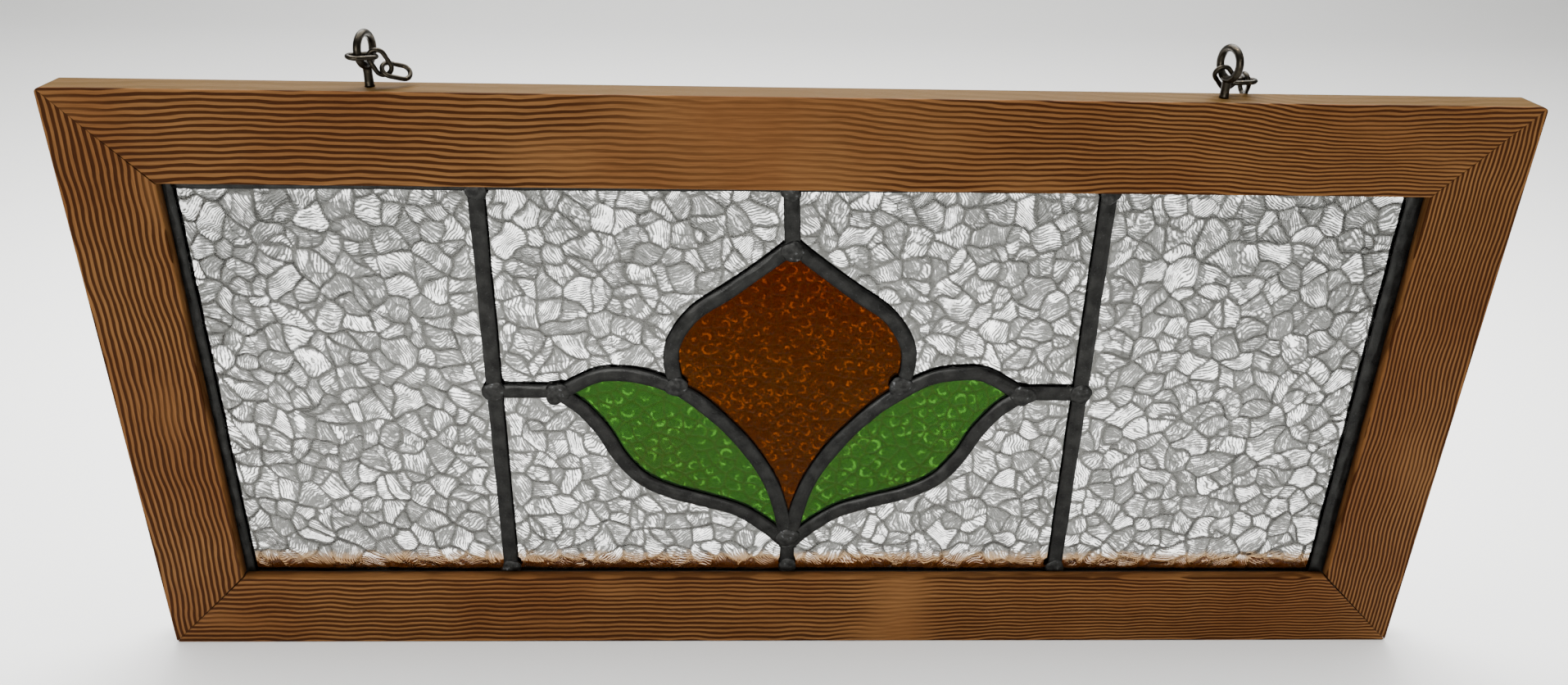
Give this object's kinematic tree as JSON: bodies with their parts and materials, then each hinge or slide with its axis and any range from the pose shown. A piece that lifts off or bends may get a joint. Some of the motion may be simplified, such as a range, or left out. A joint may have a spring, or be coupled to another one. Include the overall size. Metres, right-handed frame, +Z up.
{
  "type": "stained glass window",
  "caption": "Hanging leaded-glass panel with an amber bud and green leaves on clear textured glass, in a mitred wooden frame with screw eyes and chain ends.",
  "frame": {"origin": "halfway between the rings of the two screw eyes that the window hangs from, in the middle of the frame's thickness", "axes": "+Z up, +X to the right seen from the front, the front faces -Y"},
  "size_m": [0.58, 0.0253, 0.2857],
  "materials": {
    "pine": "stained and waxed, with dark grain lines",
    "lead": "oxidised grey lead with brighter solder",
    "clear_glass": "clear, with a heavy pressed texture of cells and ridges",
    "amber_glass": "burnt amber, hammered",
    "green_glass": "leaf green, hammered",
    "bronzed_steel": "dark bronze plating, worn bright on the edges"
  },
  "bodies": {
    "root": {"top_rail": "pine", "bottom_rail": "pine", "left_stile": "pine", "right_stile": "pine", "border_came_left": "lead", "border_came_right": "lead", "border_came_top": "lead", "border_came_bottom": "lead", "upright_came_left": "lead", "upright_came_right": "lead", "leaf_upper_came_left": "lead", "leaf_upper_came_right": "lead", "bud_came_left": "lead", "bud_came_right": "lead", "stem_came_top": "lead", "leaf_lower_came_left": "lead", "leaf_lower_came_right": "lead", "stem_came_bottom": "lead", "crossbar_came_left": "lead", "crossbar_came_right": "lead", "clear_pane_far_left": "clear_glass", "clear_pane_upper_left": "clear_glass", "clear_pane_lower_left": "clear_glass", "clear_pane_upper_right": "clear_glass", "clear_pane_lower_right": "clear_glass", "clear_pane_far_right": "clear_glass", "bud_pane": "amber_glass", "leaf_pane_left": "green_glass", "leaf_pane_right": "green_glass", "screw_eye_left": "bronzed_steel", "screw_eye_right": "bronzed_steel", "chain_left_link_1": "bronzed_steel", "chain_left_link_2": "bronzed_steel", "chain_left_link_3": "bronzed_steel", "chain_right_link_1": "bronzed_steel", "chain_right_link_2": "bronzed_steel", "chain_right_link_3": "bronzed_steel"}
  },
  "joints": []
}
